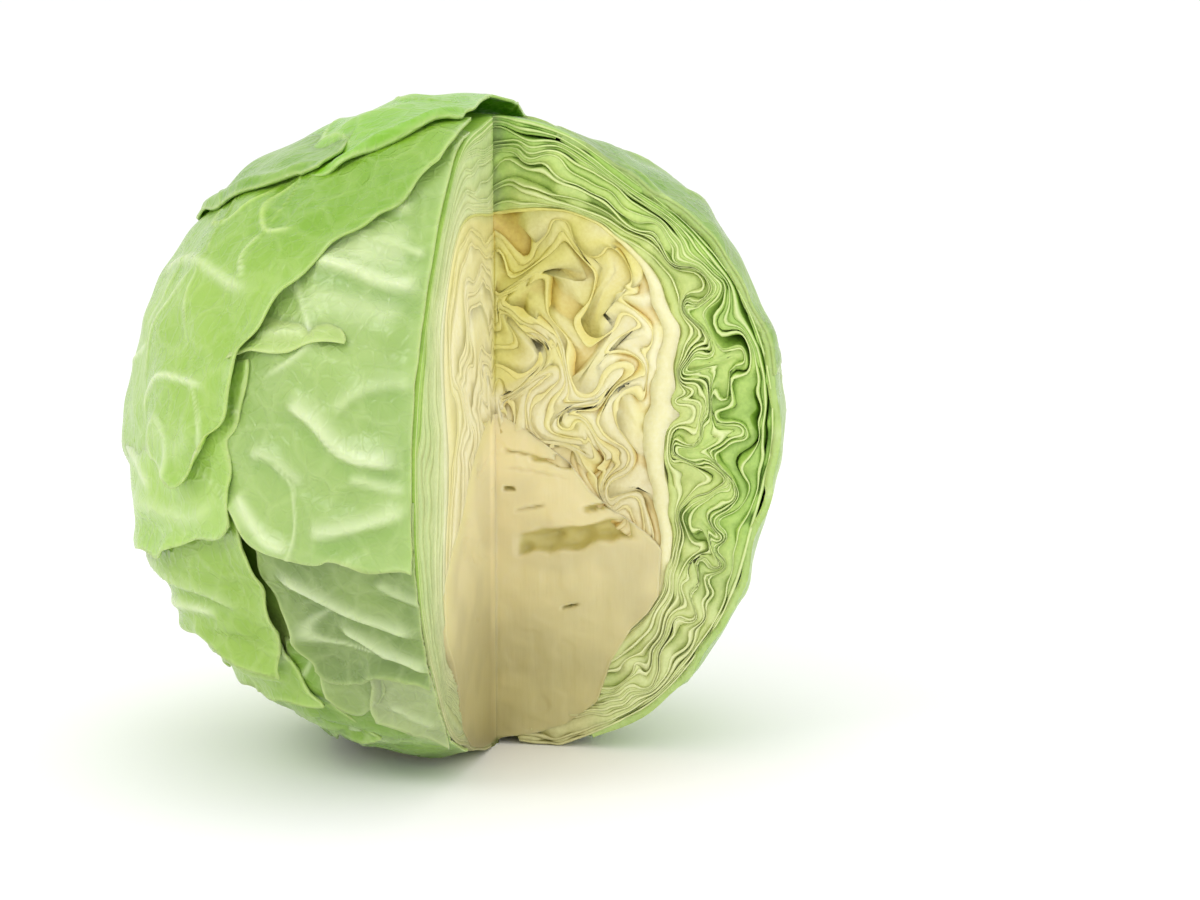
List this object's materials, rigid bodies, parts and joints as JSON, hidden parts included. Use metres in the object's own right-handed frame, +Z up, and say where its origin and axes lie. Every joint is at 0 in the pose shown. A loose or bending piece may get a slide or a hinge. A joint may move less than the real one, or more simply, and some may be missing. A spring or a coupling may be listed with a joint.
{
  "type": "cabbage head",
  "caption": "Round head of white cabbage with a quarter cut out, showing its core, yellow heart and packed green leaves; it stands on its cut stem.",
  "frame": {"origin": "centre of the stem's cut face, which the head stands on", "axes": "+Z up along the stem; the missing quarter is on the +X, -Y side, with its faces square to X and Y"},
  "size_m": [0.189, 0.189, 0.19],
  "materials": {
    "outer_leaf": "smooth waxy green leaf with pale raised veins, slightly glossy and translucent",
    "head_leaf": "moist pale green leaf, cut across, slightly translucent",
    "heart_leaf": "moist cream and yellow leaf, tightly folded and cut across",
    "core": "cut cream-coloured stem, moist and fibrous"
  },
  "bodies": {
    "root": {"wrapper_top": "outer_leaf", "wrapper_left": "outer_leaf", "wrapper_right": "outer_leaf", "wrapper_front": "outer_leaf", "wrapper_back": "outer_leaf", "wrapper_low_front": "outer_leaf", "wrapper_low_left": "outer_leaf", "head_leaf_01": "head_leaf", "head_leaf_02": "head_leaf", "head_leaf_03": "head_leaf", "head_leaf_04": "head_leaf", "head_leaf_05": "head_leaf", "head_leaf_06": "head_leaf", "head_leaf_07": "head_leaf", "head_leaf_08": "head_leaf", "head_leaf_09": "head_leaf", "head_leaf_10": "head_leaf", "head_leaf_11": "head_leaf", "head_leaf_12": "head_leaf", "head_leaf_13": "head_leaf", "head_leaf_14": "head_leaf", "head_leaf_15": "head_leaf", "head_leaf_16": "head_leaf", "heart_leaf_01": "heart_leaf", "heart_leaf_02": "heart_leaf", "heart_leaf_03": "heart_leaf", "heart_leaf_04": "heart_leaf", "heart_leaf_05": "heart_leaf", "heart_leaf_06": "heart_leaf", "heart_leaf_07": "heart_leaf", "heart_leaf_08": "heart_leaf", "heart_bud": "heart_leaf", "stem_core": "core"}
  },
  "joints": []
}
